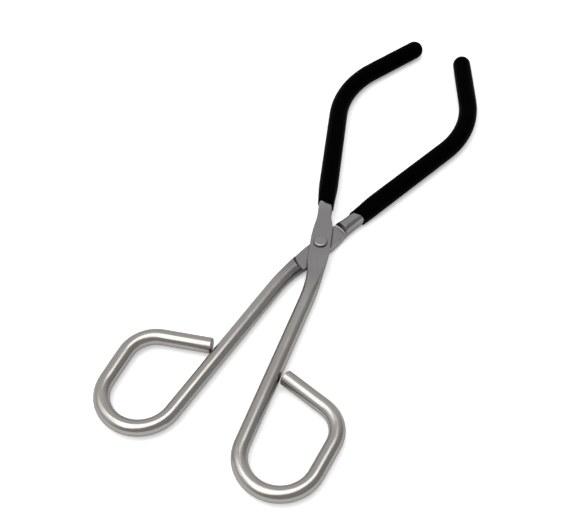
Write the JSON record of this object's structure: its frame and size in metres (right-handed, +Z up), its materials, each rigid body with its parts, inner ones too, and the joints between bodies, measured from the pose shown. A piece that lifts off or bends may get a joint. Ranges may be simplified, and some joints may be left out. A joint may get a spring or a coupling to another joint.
{
  "type": "flask tongs",
  "caption": "Scissor tongs of two bent steel rods on a riveted half lap, with vinyl-covered bowed jaws and looped finger handles.",
  "frame": {"origin": "centre of the tool's box, on the surface that it lies on", "axes": "+Y from the handles to the jaws along the centre line, +Z up out of the plane of the rods, +X to the side of the finger loop of the upper arm"},
  "size_m": [0.0958, 0.2545, 0.0085],
  "materials": {
    "steel": "satin, drawn and tumbled stainless rod",
    "vinyl": "dip-moulded black vinyl with a faint sheen",
    "rivet": "bright stainless, peened"
  },
  "bodies": {
    "lower_tong": {"lower_arm": "steel", "lower_sleeve": "vinyl", "rivet": "rivet"},
    "upper_tong": {"upper_arm": "steel", "upper_sleeve": "vinyl"}
  },
  "joints": [
    {"name": "pivot", "type": "hinge", "parent": "lower_tong", "child": "upper_tong", "pos_m": [0, -0.01318, 0.00426], "axis": [0, 0, 1], "range_deg": [-6.8, 109]}
  ]
}
